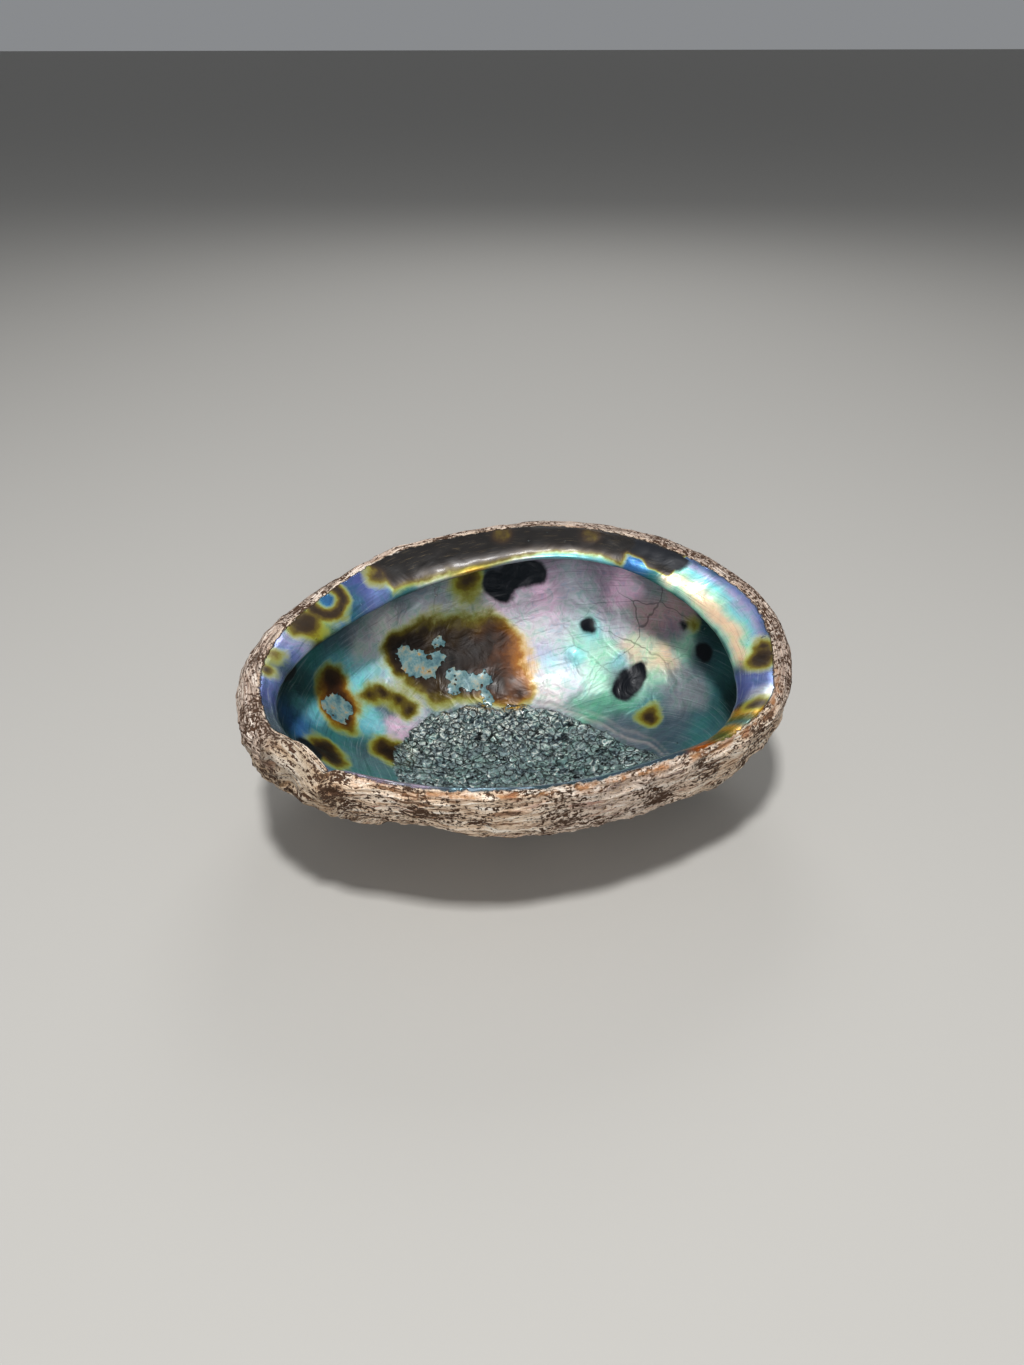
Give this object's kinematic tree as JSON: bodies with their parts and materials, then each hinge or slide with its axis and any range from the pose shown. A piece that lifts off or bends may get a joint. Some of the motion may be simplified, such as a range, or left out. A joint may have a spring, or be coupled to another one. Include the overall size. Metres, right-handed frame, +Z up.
{
  "type": "abalone shell",
  "caption": "Large abalone shell lying on its back as an open bowl: rough crust outside, iridescent nacre inside, a broad shelf along one side and a thin outer lip.",
  "frame": {"origin": "on the surface that the shell rests on, under the middle of its outline", "axes": "+Z up out of the bowl; +X along the shell's length from the head end, with the breathing notch, to the spire end; +Y towards the broad columellar shelf"},
  "size_m": [0.1926, 0.1476, 0.0794],
  "materials": {
    "shell": "rough mottled crust outside, polished iridescent nacre inside"
  },
  "bodies": {
    "root": {"shell": "shell"}
  },
  "joints": []
}
